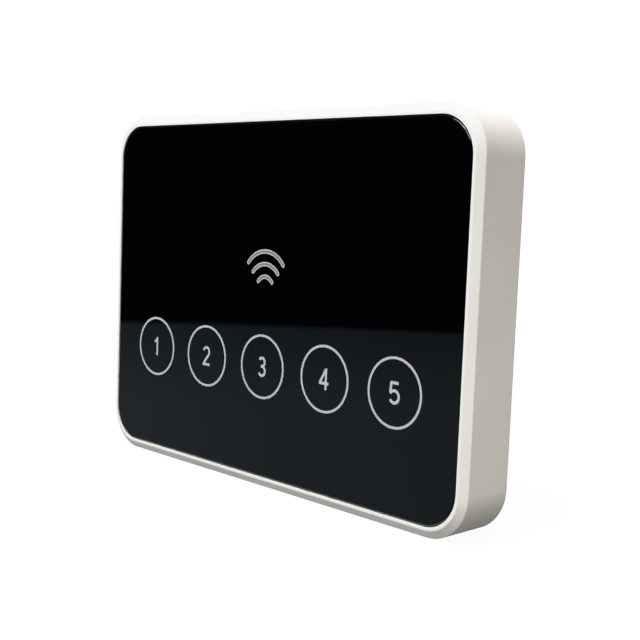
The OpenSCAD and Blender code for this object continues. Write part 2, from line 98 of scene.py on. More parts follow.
# Screw bosses and the board's stand-offs inside the housing
BOSS_R = 3 * MM
BOSS_BORE_R = 1.12 * MM
BOSS_IN = 9 * MM
BOSS_BORE_DEPTH = 6.9 * MM
STAND_R = 2.5 * MM
STAND_BORE_R = 0.92 * MM
STAND_IN = 5.6 * MM
STAND_RISE = 18 * MM
SCREW_FLOOR = 0.6 * MM
STAND_FLOOR = 0.1 * MM
COVER_SUNK = 0.2 * MM
COVER_T = 1.6 * MM
COVER_SHEET_FRONT = HOUSING_HIGH.y - COVER_SUNK - COVER_T

# The prints on the glass: the touch keys' circles and numbers, and the radio sign
KEY_COUNT = 5
KEY_PITCH = 20 * MM
KEY_DROP = 14.65 * MM
KEY_RING_R = 7 * MM
RING_LINE = 0.52 * MM
NUMBER_HEIGHT = 4.6 * MM
NUMBER_LINE = 0.6 * MM
SIGN_LINE = 0.95 * MM
SIGN_CORE_LINE = 0.45 * MM
PRINT_T = 0.03 * MM
CORE_T = 0.012 * MM
# Each stroke of a number is this much thicker than the one before, so no two faces coincide
STROKE_STEP = 0.004 * MM
# Each arc of the radio sign: radius, height of its centre and half of its angle
SIGN_ARCS = [(7.55 * MM, 3.59 * MM, math.radians(50.5)),
             (5.4 * MM, 2.94 * MM, math.radians(50.0)),
             (2.9 * MM, 2.64 * MM, math.radians(52.5))]
SIGN_X = 0.1 * MM

# The printed marks on the back: how far they stand out and reach in, how much lower the
# second stroke is where two cross, and their sizes. Turns are in degrees.
MARK_RISE = 0.04 * MM
MARK_SUNK = 0.05 * MM
MARK_STEP = 0.01 * MM
MARK_LINE = 0.45 * MM
CAP_TURN = 40
SHACKLE_SWING = 38
PADLOCK_PLACE_R = 20.4 * MM
PADLOCK_W = 2.6 * MM
PADLOCK_H = 1.9 * MM
SHACKLE_R = 0.75 * MM
SHACKLE_LEG = 0.55 * MM
POINTER_TIP_R = 15.4 * MM
POINTER_LEN = 2.7 * MM
POINTER_W = 1.7 * MM
POINTER_TIP_W = 0.02 * MM
PLUS_PLACE_R = 7 * MM
PLUS_SIZE = 4.4 * MM
PLUS_LINE = 0.9 * MM

# ---------------------------------------------------------------- mesh helpers


def piece_from(name, mesh_builder, finish, body="housing", smooth_angle=None):
    """Makes a piece from a bmesh builder, gives it its finish and lets it ride on a body."""
    shape = bmesh.new()
    mesh_builder(shape)
    bmesh.ops.remove_doubles(shape, verts=shape.verts, dist=MERGE_REACH)
    bmesh.ops.recalc_face_normals(shape, faces=shape.faces)
    mesh = bpy.data.meshes.new(name)
    shape.to_mesh(mesh)
    shape.free()
    mesh.materials.append(finish)
    piece = bpy.data.objects.new(name, mesh)
    bpy.context.scene.collection.objects.link(piece)
    if smooth_angle is not None:
        mesh.shade_smooth()
        mesh.set_sharp_from_angle(angle=smooth_angle)
    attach(piece, body)
    return piece


def keep_flats_flat(piece):
    """Lets the large flat faces lead the shading, so that only the narrow edges look round."""
    flat_first = piece.modifiers.new("flat_faces_first", "WEIGHTED_NORMAL")
    flat_first.keep_sharp = True


def skin_between(shape, first, second):
    """Quads between two closed rings of the same number of vertices."""
    count = len(first)
    for i in range(count):
        shape.faces.new((first[i], first[(i + 1) % count],
                         second[(i + 1) % count], second[i]))


def rounded_outline(inset, radius, steps=16):
    """The housing's outline drawn in by inset, as (x, z) points from the face's centre."""
    radius = max(radius, LEAST_CORNER_R)
    reach_x = HOUSING_W / 2 - inset - radius
    reach_z = HOUSING_H / 2 - inset - radius
    points = []
    for quarter, (side_x, side_z) in enumerate([(1, 1), (-1, 1), (-1, -1), (1, -1)]):
        for i in range(steps + 1):
            angle = math.radians(90) * (quarter + i / steps)
            points.append((side_x * reach_x + radius * math.cos(angle),
                           side_z * reach_z + radius * math.sin(angle)))
    return points


def eased_section(corners, steps=4):
    """A closed section of (inset, depth, round) corners with its rounded corners as arcs."""
    points = []
    count = len(corners)
    for i, (inset, depth, ease) in enumerate(corners):
        here = Vector((inset, depth))
        before = Vector(corners[i - 1][:2])
        after = Vector(corners[(i + 1) % count][:2])
        if not ease:
            points.append(here)
            continue
        start = here + (before - here).normalized() * ease
        end = here + (after - here).normalized() * ease
        for k in range(steps + 1):
            t = k / steps
            points.append((1 - t) ** 2 * start + 2 * t * (1 - t) * here + t ** 2 * end)
    return points


def band(shape, stations, y_front, thickness):
    """A thin flat print from stations of (centre, normal, half width)."""
    rows = []
    for centre, normal, half in stations:
        rows.append([shape.verts.new((p.x, y, p.y)) for y in (y_front, y_front + thickness)
                     for p in (centre - normal * half, centre + normal * half)])
    for one, two in zip(rows, rows[1:]):
        for a, b in ((0, 1), (1, 3), (3, 2), (2, 0)):
            shape.faces.new((one[a], one[b], two[b], two[a]))
    for end in (rows[0], rows[-1]):
        shape.faces.new((end[0], end[1], end[3], end[2]))


def arc_stations(centre, radius, half_angle, line, steps=40, cap_steps=8):
    """Stations of an arc about the upward direction with round ends."""
    stations = []

    def add(angle, half):
        normal = Vector((math.sin(angle), math.cos(angle)))
        stations.append((centre + normal * radius, normal, half))

    cap_angle = line / 2 / radius
    for i in range(1, cap_steps):
        turn = math.radians(90) * (1 - i / cap_steps)
        add(-half_angle - cap_angle * math.sin(turn), line / 2 * math.cos(turn))
    for i in range(steps + 1):
        add(-half_angle + 2 * half_angle * i / steps, line / 2)
    for i in range(1, cap_steps):
        turn = math.radians(90) * i / cap_steps
        add(half_angle + cap_angle * math.sin(turn), line / 2 * math.cos(turn))
    return stations


# ---------------------------------------------------------------- shared effects

# Places of the colour sockets on a mix node
MIX_SHARE = 0
MIX_FIRST = 6
MIX_SECOND = 7
MIX_RESULT = 2
# The middle range that a noise mostly fills, and the narrower one of drawn-out lines
NOISE_LOW = 0.3
NOISE_HIGH = 0.7
LINE_LOW = 0.35
LINE_HIGH = 0.65
LINE_STRETCH = 0.06
# The least speck as a share of the widest
LEAST_SPECK = 0.4
# The wiped film: its slant, how drawn out it is, and where it begins and is full
FILM_SLANT = math.radians(24)
FILM_STRETCH = 5.0
FILM_BEGINS = 0.42
FILM_FULL = 0.75


def effect(name, inputs, outputs, build):
    """A shared effect: a node group with named inputs, their start values and its outputs."""
    tree = bpy.data.node_groups.new(name, "ShaderNodeTree")
    for title, kind, start in inputs:
        socket = tree.interface.new_socket(title, in_out="INPUT", socket_type=kind)
        if start is not None:
            socket.default_value = start
    for title, kind in outputs:
        tree.interface.new_socket(title, in_out="OUTPUT", socket_type=kind)
    given = tree.nodes.new("NodeGroupInput").outputs
    result = tree.nodes.new("NodeGroupOutput").inputs
    build(tree, given, result)
    return tree


def add_node(tree, kind, settings=None, inputs=None):
    """A node with its settings and the values or links of its inputs."""
    made = tree.nodes.new(kind)
    for name, value in (settings or {}).items():
        setattr(made, name, value)
    for key, value in (inputs or {}).items():
        if isinstance(value, bpy.types.NodeSocket):
            tree.links.new(value, made.inputs[key])
        else:
            made.inputs[key].default_value = value
    return made


def maths(tree, operation, *values):
    """The result of one sum of numbers or links."""
    return add_node(tree, "ShaderNodeMath", {"operation": operation},
                    dict(enumerate(values))).outputs[0]


def ramp(tree, value, low, high, to_low, to_high):
    """A value carried smoothly from one range to another."""
    return add_node(tree, "ShaderNodeMapRange", {"interpolation_type": "SMOOTHSTEP"},
                    {"Value": value, "From Min": low, "From Max": high,
                     "To Min": to_low, "To Max": to_high}).outputs["Result"]


def blend_colours(tree, share, first, second):
    """A mix of two colours by a share from 0 to 1."""
    mixed = add_node(tree, "ShaderNodeMix", {"data_type": "RGBA"},
                     {MIX_SHARE: share, MIX_FIRST: first, MIX_SECOND: second})
    return mixed.outputs[MIX_RESULT]


def per_length(tree, length):
    """How many of a length fit in a metre, as a texture's scale."""
    return maths(tree, "DIVIDE", 1.0, length)


def build_moulded_grain(tree, given, result):
    """Fine spark-eroded mould texture, and broad faint cloudiness of the plastic."""
    fine = add_node(tree, "ShaderNodeTexNoise", None,
                    {"Vector": given["Place"], "Scale": per_length(tree, given["Grain"]),
                     "Detail": 2.0, "Roughness": 0.6})
    broad = add_node(tree, "ShaderNodeTexNoise", None,
                     {"Vector": given["Place"], "Scale": per_length(tree, given["Cloud"]),
                      "Detail": 2.0, "Roughness": 0.5})
    tree.links.new(fine.outputs["Fac"], result["Height"])
    shade = ramp(tree, broad.outputs["Fac"], NOISE_LOW, NOISE_HIGH, 0.0, 1.0)
    tree.links.new(shade, result["Shade"])


def build_stray_specks(tree, given, result):
    """Sparse round specks of different widths, such as dust or moulding specks."""
    cells = add_node(tree, "ShaderNodeTexVoronoi", None,
                     {"Vector": given["Place"], "Scale": per_length(tree, given["Spacing"])})
    chance = add_node(tree, "ShaderNodeSeparateColor", None, {"Color": cells.outputs["Color"]})
    chosen = maths(tree, "LESS_THAN", chance.outputs["Red"], given["Share"])
    size = maths(tree, "MULTIPLY", maths(tree, "DIVIDE", given["Width"], given["Spacing"]),
                 ramp(tree, chance.outputs["Green"], 0.0, 1.0, LEAST_SPECK, 1.0))
    inside = maths(tree, "LESS_THAN", cells.outputs["Distance"], size)
    tree.links.new(maths(tree, "MULTIPLY", chosen, inside), result["Mask"])


def build_wiped_film(tree, given, result):
    """The faint film that wiping leaves: long soft streaks with clearer places between."""
    turned = add_node(tree, "ShaderNodeMapping", None,
                      {"Vector": given["Place"], "Rotation": (0.0, FILM_SLANT, 0.0),
                       "Scale": (1.0, 1.0, FILM_STRETCH)})
    streaks = add_node(tree, "ShaderNodeTexNoise", None,
                       {"Vector": turned.outputs["Vector"],
                        "Scale": per_length(tree, given["Length"]),
                        "Detail": 3.0, "Roughness": 0.55, "Distortion": 0.6})
    film = ramp(tree, streaks.outputs["Fac"], FILM_BEGINS, FILM_FULL, 0.0, 1.0)
    tree.links.new(film, result["Mask"])


def build_rolled_metal(tree, given, result):
    """Fine lines along one direction, as rolling, drawing or turning leaves them."""
    stretched = add_node(tree, "ShaderNodeMapping", None,
                         {"Vector": given["Place"], "Scale": (LINE_STRETCH, 1.0, 1.0)})
    lines = add_node(tree, "ShaderNodeTexNoise", None,
                     {"Vector": stretched.outputs["Vector"],
                      "Scale": per_length(tree, given["Line"]), "Detail": 3.0})
    tree.links.new(lines.outputs["Fac"], result["Height"])
    shade = ramp(tree, lines.outputs["Fac"], LINE_LOW, LINE_HIGH, 0.0, 1.0)
    tree.links.new(shade, result["Shade"])


VECTOR = "NodeSocketVector"
NUMBER = "NodeSocketFloat"
MOULDED_GRAIN = effect(
    "moulded_grain",
    [("Place", VECTOR, None), ("Grain", NUMBER, 0.22 * MM), ("Cloud", NUMBER, 14 * MM)],
    [("Height", NUMBER), ("Shade", NUMBER)], build_moulded_grain)
STRAY_SPECKS = effect(
    "stray_specks",
    [("Place", VECTOR, None), ("Spacing", NUMBER, 6 * MM), ("Width", NUMBER, 0.12 * MM),
     ("Share", NUMBER, 0.3)],
    [("Mask", NUMBER)], build_stray_specks)
WIPED_FILM = effect(
    "wiped_film", [("Place", VECTOR, None), ("Length", NUMBER, 26 * MM)],
    [("Mask", NUMBER)], build_wiped_film)
ROLLED_METAL = effect(
    "rolled_metal", [("Place", VECTOR, None), ("Line", NUMBER, 0.12 * MM)],
    [("Height", NUMBER), ("Shade", NUMBER)], build_rolled_metal)


def place_effect(tree, group, **values):
    """An effect in a material, laid out in the object's own metres."""
    made = tree.nodes.new("ShaderNodeGroup")
    made.node_tree = group
    place = add_node(tree, "ShaderNodeTexCoord").outputs["Object"]
    tree.links.new(place, made.inputs["Place"])
    for name, value in values.items():
        made.inputs[name.capitalize()].default_value = value
    return made.outputs


# ---------------------------------------------------------------- finishes

# How far the roughness goes below and above its middle value
PLASTIC_SMOOTHER = 0.04
PLASTIC_ROUGHER = 0.05
METAL_SMOOTHER = 0.05
METAL_ROUGHER = 0.08

# How dark and light the lines of a metal are, and the grey of moulding specks
METAL_DARK = 0.92
METAL_LIGHT = 1.05
SPECK_GREY = (0.2, 0.19, 0.17, 1.0)

# Printed ink: the mesh that it was pressed through, its mottle, its roughness and its relief
PRINT_MESH = 0.16 * MM
PRINT_CLOUD = 5 * MM
PRINT_MOTTLE = 0.1
PRINT_ROUGH = (0.3, 0.4)
PRINT_DEPTH = 0.003 * MM

# The glass: its base colour, its dust and how rough it is where clean, wiped and dusty
GLASS_DEEP = (0.0006, 0.0007, 0.0011, 1.0)
DUST_GREY = (0.035, 0.036, 0.038, 1.0)
GLASS_CLEAN = 0.012
GLASS_WIPED = 0.03
DUST_ROUGH = 0.5

# The board: its solder mask over bare board and over copper, and the size of its copper areas
MASK_ON_BOARD = (0.02, 0.17, 0.055, 1.0)
MASK_ON_COPPER = (0.012, 0.1, 0.035, 1.0)
COPPER_PER_METRE = 190.0
COPPER_EDGE = (0.34, 0.36)
BOARD_ROUGH = (0.3, 0.5)
BOARD_WEAVE = 0.4 * MM
MASK_STEP = 0.03 * MM
MASK_SOFTNESS = 0.6


def new_finish(name, **sockets):
    """A material with one shader, and the shader's plain values."""
    finish = bpy.data.materials.new(name)
    finish.use_nodes = True
    shader = finish.node_tree.nodes["Principled BSDF"]
    for title, value in sockets.items():
        shader.inputs[title.replace("_", " ")].default_value = value
    return finish, finish.node_tree, shader.inputs


def tinted(colour, factor):
    """A colour made lighter or darker by a factor, with full cover."""
    return tuple(min(1.0, part * factor) for part in colour) + (1.0,)


def lay_bump(tree, shader, height, depth, strength=1.0):
    """Feeds the shader's normal from a height that spans a depth in metres."""
    bump = add_node(tree, "ShaderNodeBump", None,
                    {"Height": height, "Distance": depth, "Strength": strength})
    tree.links.new(bump.outputs["Normal"], shader["Normal"])


def moulded_plastic(name, colour, roughness, grain=0.22 * MM, depth=0.006 * MM,
                    speck_share=0.0, cloud=0.02):
    """Moulded plastic: mould texture, faint cloudiness and a few specks."""
    finish, tree, shader = new_finish(name)
    surface = place_effect(tree, MOULDED_GRAIN, grain=grain)
    base = blend_colours(tree, surface["Shade"], tinted(colour, 1 - cloud),
                         tinted(colour, 1 + cloud))
    if speck_share:
        specks = place_effect(tree, STRAY_SPECKS, share=speck_share)
        base = blend_colours(tree, specks["Mask"], base, SPECK_GREY)
    tree.links.new(base, shader["Base Color"])
    tree.links.new(ramp(tree, surface["Height"], NOISE_LOW, NOISE_HIGH,
                        roughness - PLASTIC_SMOOTHER, roughness + PLASTIC_ROUGHER),
                   shader["Roughness"])
    lay_bump(tree, shader, surface["Height"], depth)
    return finish


def plain_metal(name, colour, roughness, line=0.12 * MM, depth=0.002 * MM):
    """Bare or plated metal with the fine lines of its making."""
    finish, tree, shader = new_finish(name, Metallic=1.0)
    surface = place_effect(tree, ROLLED_METAL, line=line)
    tree.links.new(blend_colours(tree, surface["Shade"], tinted(colour, METAL_DARK),
                                 tinted(colour, METAL_LIGHT)), shader["Base Color"])
    tree.links.new(ramp(tree, surface["Height"], NOISE_LOW, NOISE_HIGH,
                        roughness - METAL_SMOOTHER, roughness + METAL_ROUGHER),
                   shader["Roughness"])
    lay_bump(tree, shader, surface["Height"], depth)
    return finish


def black_backed_glass():
    """Float glass over black ink: deep gloss with dust and a faint wiped film."""
    finish, tree, shader = new_finish("glass_black", IOR=1.52)
    dust = place_effect(tree, STRAY_SPECKS, spacing=7 * MM, width=0.13 * MM, share=0.32)
    film = place_effect(tree, WIPED_FILM)
    tree.links.new(blend_colours(tree, dust["Mask"], GLASS_DEEP, DUST_GREY),
                   shader["Base Color"])
    film_roughness = ramp(tree, film["Mask"], 0.0, 1.0, GLASS_CLEAN, GLASS_WIPED)
    dust_roughness = maths(tree, "MULTIPLY", dust["Mask"], DUST_ROUGH)
    tree.links.new(maths(tree, "ADD", film_roughness, dust_roughness), shader["Roughness"])
    return finish


def screen_print(name, colour):
    """Screen-printed ink: even, with the faint mottle of the mesh it was pressed through."""
    finish, tree, shader = new_finish(name)
    surface = place_effect(tree, MOULDED_GRAIN, grain=PRINT_MESH, cloud=PRINT_CLOUD)
    tree.links.new(blend_colours(tree, surface["Height"], tinted(colour, 1 - PRINT_MOTTLE),
                                 tinted(colour, 1 + PRINT_MOTTLE)), shader["Base Color"])
    tree.links.new(ramp(tree, surface["Shade"], 0.0, 1.0, *PRINT_ROUGH), shader["Roughness"])
    lay_bump(tree, shader, surface["Height"], PRINT_DEPTH)
    return finish


def solder_masked_board():
    """Green board: a glossy solder mask over bare board and copper areas."""
    finish, tree, shader = new_finish("board_green", Coat_Weight=0.4, Coat_Roughness=0.15)
    place = add_node(tree, "ShaderNodeTexCoord").outputs["Object"]
    copper = add_node(tree, "ShaderNodeTexVoronoi", {"distance": "CHEBYCHEV"},
                      {"Vector": place, "Scale": COPPER_PER_METRE})
    edge = ramp(tree, copper.outputs["Distance"], *COPPER_EDGE, 0.0, 1.0)
    tree.links.new(blend_colours(tree, edge, MASK_ON_BOARD, MASK_ON_COPPER),
                   shader["Base Color"])
    weave = place_effect(tree, MOULDED_GRAIN, grain=BOARD_WEAVE)
    tree.links.new(ramp(tree, weave["Height"], 0.0, 1.0, *BOARD_ROUGH), shader["Roughness"])
    lay_bump(tree, shader, edge, MASK_STEP, MASK_SOFTNESS)
    return finish


SHELL_WHITE = (0.86, 0.85, 0.82)
COVER_WHITE = (0.84, 0.83, 0.8)
FINISHES = {
    "housing_white": moulded_plastic("housing_white", SHELL_WHITE, 0.4, speck_share=0.3),
    "cover_white": moulded_plastic("cover_white", COVER_WHITE, 0.52, grain=0.35 * MM,
                                   depth=0.012 * MM, speck_share=0.25),
    "cap_white": moulded_plastic("cap_white", COVER_WHITE, 0.44, grain=0.28 * MM,
                                 depth=0.009 * MM, speck_share=0.2),
    "glass_black": black_backed_glass(),
    "tape_grey": moulded_plastic("tape_grey", (0.1, 0.1, 0.105), 0.8, grain=0.5 * MM,
                                 depth=0.05 * MM),
    "carrier_black": moulded_plastic("carrier_black", (0.02, 0.02, 0.022), 0.5),
    "diffuser_milky": moulded_plastic("diffuser_milky", (0.82, 0.84, 0.86), 0.35),
    "led_clear": moulded_plastic("led_clear", (0.85, 0.8, 0.45), 0.2, cloud=0.08),
    "board_green": solder_masked_board(),
    "chip_black": moulded_plastic("chip_black", (0.022, 0.022, 0.024), 0.6, grain=0.12 * MM),
    "capacitor_yellow": moulded_plastic("capacitor_yellow", (0.68, 0.38, 0.06), 0.45),
    "seal_red": moulded_plastic("seal_red", (0.4, 0.05, 0.035), 0.62, grain=0.3 * MM),
    "spring_steel": plain_metal("spring_steel", (0.72, 0.66, 0.52), 0.2),
    "shield_tin": plain_metal("shield_tin", (0.62, 0.63, 0.65), 0.34, line=0.3 * MM),
    "copper_wire": plain_metal("copper_wire", (0.8, 0.42, 0.24), 0.22),
    "contact_gold": plain_metal("contact_gold", (0.8, 0.64, 0.32), 0.26),
    "cell_steel": plain_metal("cell_steel", (0.66, 0.67, 0.69), 0.3, line=0.2 * MM),
    "screw_steel": plain_metal("screw_steel", (0.6, 0.61, 0.63), 0.28, line=0.08 * MM),
}
PRINT_LIGHT = screen_print("print_light", (0.47, 0.49, 0.51))
PRINT_CORE = screen_print("print_core", (0.17, 0.176, 0.19))
MARK_INK = screen_print("mark_ink", (0.2, 0.205, 0.21))


def dress_frame_nodes():
    """Gives every piece of the frame the finish that its record slot names."""
    for part in frame["record"]["subparts"]:
        for slot in NODES[part["node"]].material_slots:
            slot.material = FINISHES[part["material_slot"]]


# ---------------------------------------------------------------- the housing


def build_lathed(shape, x, z, profile, steps=48):
    """A closed form turned about an axis along the depth, from (radius, y) points."""
    rings = []
    for radius, y in profile:
        if radius:
            rings.append([shape.verts.new((x + radius * math.cos(math.tau * k / steps), y,
                                           z + radius * math.sin(math.tau * k / steps)))
                          for k in range(steps)])
        else:
            rings.append([shape.verts.new((x, y, z))])
    for one, two in zip(rings, rings[1:]):
        if len(one) > 1 and len(two) > 1:
            skin_between(shape, one, two)
            continue
        tip, ring = (one[0], two) if len(one) == 1 else (two[0], one)
        for k in range(steps):
            shape.faces.new((tip, ring[k], ring[(k + 1) % steps]))


def build_bored_post(shape, x, z, radius, bore_r, front, back, bore_front):
    """A round post with a blind bore from behind, as a screw needs it."""
    build_lathed(shape, x, z, [(0, front), (radius, front), (radius, back), (bore_r, back),
                               (bore_r, bore_front), (0, bore_front)])


def build_housing_shell(shape):
    """The moulded housing: its section carried round the rounded outline, and its posts."""
    ledge_front = LEDGE_HIGH.y - HOUSING_LOW.y
    ledge_back = ledge_front + LEDGE_T
    pocket = (HOUSING_W - (GLASS_HIGH.x - GLASS_LOW.x)) / 2 - GLASS_GAP
    cover_front = COVER_SHEET_FRONT - HOUSING_LOW.y
    lip = SIDE_WALL - COVER_SEAT
    section = eased_section([
        (pocket, 0, INNER_ROUND), (BEVEL_W, 0, EDGE_ROUND), (0, BEVEL_D, EDGE_ROUND),
        (0, HOUSING_D - REAR_BEVEL, INNER_ROUND), (REAR_BEVEL, HOUSING_D, INNER_ROUND),
        (lip, HOUSING_D, INNER_ROUND), (lip, cover_front, 0), (SIDE_WALL, cover_front, 0),
        (SIDE_WALL, ledge_back, 0), (LEDGE_IN, ledge_back, 0), (LEDGE_IN, ledge_front, 0),
        (pocket, ledge_front, 0)])
    rings = []
    for inset, depth in section:
        in_pocket = depth <= ledge_front and inset > (BEVEL_W + pocket) / 2
        radius = (pocket + POCKET_R if in_pocket else CORNER_R) - inset
        rings.append([shape.verts.new((x, HOUSING_LOW.y + depth, FACE_CENTRE.z + z))
                      for x, z in rounded_outline(inset, radius)])
    for i, ring in enumerate(rings):
        skin_between(shape, rings[i - 1], ring)
    post_front = LEDGE_HIGH.y + SCREW_FLOOR
    board_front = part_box("main_board")[0].y
    for side_x in (-1, 1):
        for side_z in (-1, 1):
            build_bored_post(shape, side_x * (HOUSING_W / 2 - BOSS_IN),
                             FACE_CENTRE.z + side_z * (HOUSING_H / 2 - BOSS_IN), BOSS_R,
                             BOSS_BORE_R, post_front, COVER_SHEET_FRONT,
                             HOUSING_HIGH.y - COVER_SUNK - BOSS_BORE_DEPTH)
            build_bored_post(shape, side_x * (HOUSING_W / 2 - STAND_IN),
                             FACE_CENTRE.z + side_z * STAND_RISE, STAND_R,
                             STAND_BORE_R, post_front, board_front, post_front + STAND_FLOOR)


def make_housing_shell():
    shell = piece_from("housing_shell", build_housing_shell, FINISHES["housing_white"],
                       smooth_angle=SHELL_SHARP)
    keep_flats_flat(shell)
    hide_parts("front_frame")


def build_glass_sheet(shape):
    """The glass: a flat sheet whose front edge is ground in two facets."""
    edge = (HOUSING_W - (GLASS_HIGH.x - GLASS_LOW.x)) / 2
    front = GLASS_LOW.y - HOUSING_LOW.y
    back = GLASS_HIGH.y - HOUSING_LOW.y
    border = edge + 2 * FACET_IN
    section = eased_section([
        (border, front, 0), (edge + FACET_IN, front, 0),
        (edge + FACET_OUT, front + FACET_IN - FACET_OUT, 0),
        (edge, front + FACET_DROP, 0), (edge, back, BACK_ARRIS), (border, back, 0)])
    rings = []
    for inset, depth in section:
        rings.append([shape.verts.new((x, HOUSING_LOW.y + depth, FACE_CENTRE.z + z))
                      for x, z in rounded_outline(inset, edge - GLASS_GAP + POCKET_R - inset)])
    for one, two in zip(rings, rings[1:]):
        skin_between(shape, one, two)
    shape.faces.new(rings[0])
    shape.faces.new(rings[-1])


def make_glass_sheet():
    sheet = piece_from("glass_sheet", build_glass_sheet, FINISHES["glass_black"],
                       smooth_angle=FACET_SHARP)
    keep_flats_flat(sheet)
    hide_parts("touch_glass")


# ---------------------------------------------------------------- the prints on the glass


def key_centre(i):
    """The middle of a touch key, as (x, z)."""
    return Vector(((i - (KEY_COUNT - 1) / 2) * KEY_PITCH, FACE_CENTRE.z - KEY_DROP))


def make_key_ring(i):
    """The printed circle of one touch key."""
    centre = key_centre(i)
    steps = 96

    def build(shape):
        rings = []
        for radius, y in ((KEY_RING_R - RING_LINE / 2, GLASS_LOW.y),
                          (KEY_RING_R - RING_LINE / 2, GLASS_LOW.y - PRINT_T),
                          (KEY_RING_R + RING_LINE / 2, GLASS_LOW.y - PRINT_T),
                          (KEY_RING_R + RING_LINE / 2, GLASS_LOW.y)):
            rings.append([shape.verts.new((centre.x + radius * math.cos(math.tau * k / steps), y,
                                           centre.y + radius * math.sin(math.tau * k / steps)))
                          for k in range(steps)])
        for k, ring in enumerate(rings):
            skin_between(shape, rings[k - 1], ring)

    piece_from(f"key_ring_{i + 1}", build, PRINT_LIGHT)


def curve(x, y, radius, start, end, steps=20):
    """Points along an arc from one angle to another, in degrees."""
    angles = [math.radians(start + (end - start) * k / steps) for k in range(steps + 1)]
    return [(x + radius * math.cos(a), y + radius * math.sin(a)) for a in angles]


# The strokes of the plain numbers, in shares of their height from their middle
NUMBER_STROKES = {
    1: [[(0.05, -0.5), (0.05, 0.5)], curve(-0.19, 0.5, 0.245, -90, -8)],
    2: [curve(0, 0.21, 0.2275, 165, -35) + [(-0.235, -0.42)], [(-0.29, -0.4375), (0.27, -0.4375)]],
    3: [curve(0, 0.235, 0.2025, 155, -80), curve(0, -0.21, 0.2275, 80, -155),
        [(-0.07, 0.026), (0.05, 0.026)]],
    4: [[(0.12, -0.5), (0.12, 0.5)], [(-0.32, -0.2), (0.3, -0.2)],
        [(-0.26, -0.175), (0.11, 0.465)]],
    5: [curve(0.005, -0.17, 0.2675, 150, -150), [(-0.225, -0.035), (-0.19, 0.46)],
        [(-0.215, 0.4375), (0.23, 0.4375)]],
}


def stroke_stations(points, line):
    """Stations along a stroke of even width, mitred where it turns."""
    stations = []
    for k, here in enumerate(points):
        before = here - points[k - 1] if k else points[1] - here
        after = points[k + 1] - here if k + 1 < len(points) else before
        along = (before.normalized() + after.normalized()).normalized()
        half = line / 2 / along.dot(before.normalized())
        stations.append((here, Vector((-along.y, along.x)), half))
    return stations


def make_key_number(i):
    """The plain number in a key's circle, which takes the place of a word."""
    centre = key_centre(i)

    def build(shape):
        for k, stroke in enumerate(NUMBER_STROKES[i + 1]):
            points = [centre + NUMBER_HEIGHT * Vector(point) for point in stroke]
            thickness = PRINT_T + k * STROKE_STEP
            band(shape, stroke_stations(points, NUMBER_LINE), GLASS_LOW.y - thickness, thickness)

    piece_from(f"key_number_{i + 1}", build, PRINT_LIGHT)


def make_radio_sign(name, line, y_front, thickness, finish):
    """The three arcs of the common radio sign, in one line width."""

    def build(shape):
        for radius, rise, half_angle in SIGN_ARCS:
            centre = Vector((SIGN_X, FACE_CENTRE.z + rise))
            band(shape, arc_stations(centre, radius, half_angle, line), y_front, thickness)

    piece_from(name, build, finish)


def make_prints():
    for i in range(KEY_COUNT):
        make_key_ring(i)
        make_key_number(i)
    make_radio_sign("radio_sign_edge", SIGN_LINE, GLASS_LOW.y - PRINT_T, PRINT_T, PRINT_LIGHT)
    make_radio_sign("radio_sign_core", SIGN_CORE_LINE, GLASS_LOW.y - PRINT_T - CORE_T, CORE_T,
                    PRINT_CORE)


# ---------------------------------------------------------------- printed marks on the back


def stroke_on(shape, centre, points, line, y_front, thickness):
    """One even stroke through points that are given from a centre, in metres."""
    path = [centre + Vector(point) for point in points]
    band(shape, stroke_stations(path, line), y_front, thickness)


def rear_point(angle, radius):
    """A place round the cap's axis, at an angle from the upward direction towards +x."""
    turn = math.radians(angle)
    return Vector((CAP_CENTRE.x + radius * math.sin(turn), CAP_CENTRE.z + radius * math.cos(turn)))


def make_padlock(name, angle, shackle_turn):
    """A small printed padlock beside the cap, closed or with its shackle swung open."""
    centre = rear_point(angle, PADLOCK_PLACE_R)
    half = PADLOCK_W / 2

    def build(shape):
        stroke_on(shape, centre, [(-half, -PADLOCK_H / 2), (half, -PADLOCK_H / 2)], PADLOCK_H,
                  COVER_HIGH.y - MARK_SUNK, MARK_SUNK + MARK_RISE)
        hinge = Vector((-SHACKLE_R, 0))
        turn = math.radians(shackle_turn)
        bow = [(-SHACKLE_R, 0)] + curve(0, SHACKLE_LEG, SHACKLE_R, 180, 0) + [(SHACKLE_R, 0)]
        swung = []
        for point in bow:
            arm = Vector(point) - hinge
            swung.append(hinge + Vector((arm.x * math.cos(turn) - arm.y * math.sin(turn),
                                         arm.x * math.sin(turn) + arm.y * math.cos(turn))))
        stroke_on(shape, centre, swung, MARK_LINE, COVER_HIGH.y - MARK_SUNK,
                  MARK_SUNK + MARK_RISE - MARK_STEP)

    piece_from(name, build, MARK_INK)


def make_cap_marks():
    """The cap's printed pointer, and the plus sign for the battery side that faces it."""

    def build(shape):
        tip = rear_point(0, POINTER_TIP_R)
        foot = rear_point(0, POINTER_TIP_R - POINTER_LEN)
        sideways = Vector((1, 0))
        band(shape, [(foot, sideways, POINTER_W / 2), (tip, sideways, POINTER_TIP_W / 2)],
             CAP_HIGH.y - MARK_SUNK, MARK_SUNK + MARK_RISE)
        centre = rear_point(180, PLUS_PLACE_R)
        reach = PLUS_SIZE / 2
        stroke_on(shape, centre, [(-reach, 0), (reach, 0)], PLUS_LINE,
                  CAP_HIGH.y - MARK_SUNK, MARK_SUNK + MARK_RISE)
        stroke_on(shape, centre, [(0, -reach), (0, reach)], PLUS_LINE,
                  CAP_HIGH.y - MARK_SUNK, MARK_SUNK + MARK_RISE - MARK_STEP)

    piece_from("cap_marks", build, MARK_INK, body="cap")


def make_rear_marks():
    make_padlock("padlock_closed", 0, 0)
    make_padlock("padlock_open", CAP_TURN, SHACKLE_SWING)
    make_cap_marks()


